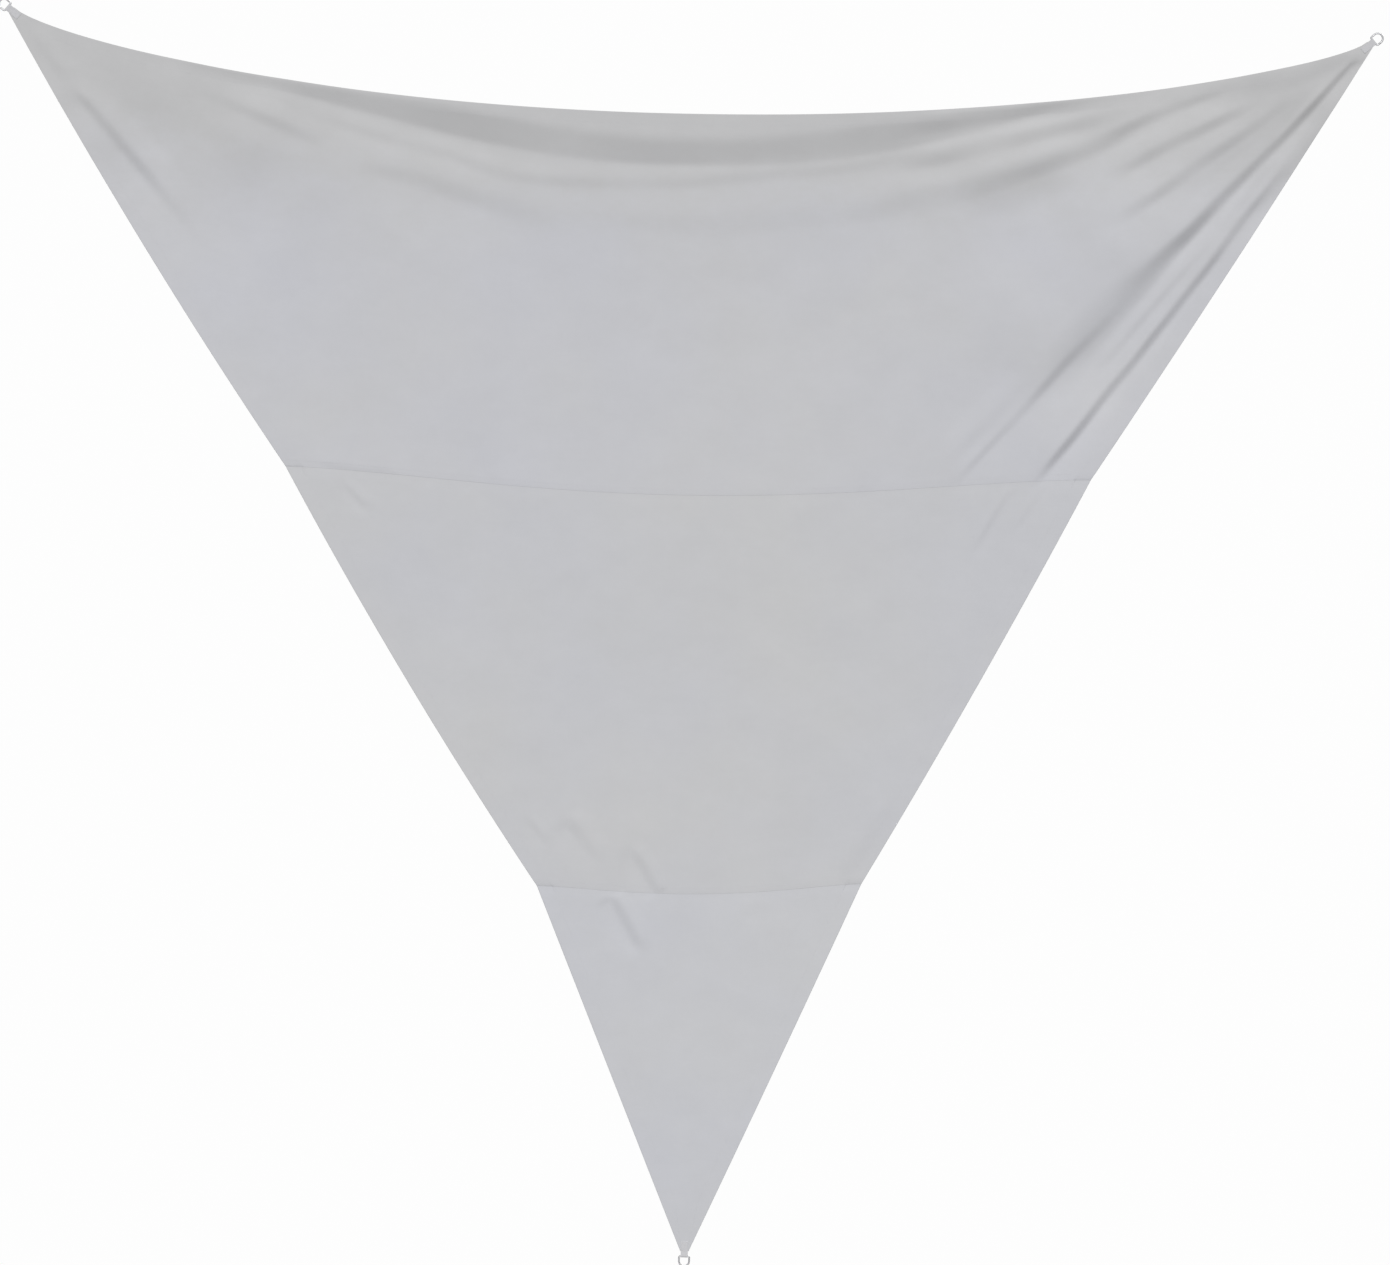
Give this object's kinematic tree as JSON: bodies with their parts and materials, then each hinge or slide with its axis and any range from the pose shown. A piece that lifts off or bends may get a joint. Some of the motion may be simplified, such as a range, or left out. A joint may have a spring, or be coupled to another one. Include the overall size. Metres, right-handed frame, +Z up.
{
  "type": "shade sail",
  "caption": "Triangular shade sail of sewn cloth panels with turned hems, webbing loops and steel D-rings at its corners, hung upright with a slack upper edge and soft folds.",
  "frame": {"origin": "centre of the eye of the upper left ring, as the sail's front is seen", "axes": "+X level, towards the upper right corner; +Y away from the viewer of the front, to the hollow side; +Z up. The eyes of all the rings lie in the plane y = 0."},
  "size_m": [4.9088, 0.1224, 4.4969],
  "materials": {
    "cloth": "light grey woven shade cloth, matt",
    "webbing": "pale woven tape",
    "steel": "satin stainless"
  },
  "bodies": {
    "root": {"top_panel": "cloth", "middle_panel": "cloth", "bottom_panel": "cloth", "loop_top_left": "webbing", "loop_top_right": "webbing", "loop_bottom": "webbing", "ring_top_left": "steel", "ring_top_right": "steel", "ring_bottom": "steel"}
  },
  "joints": []
}
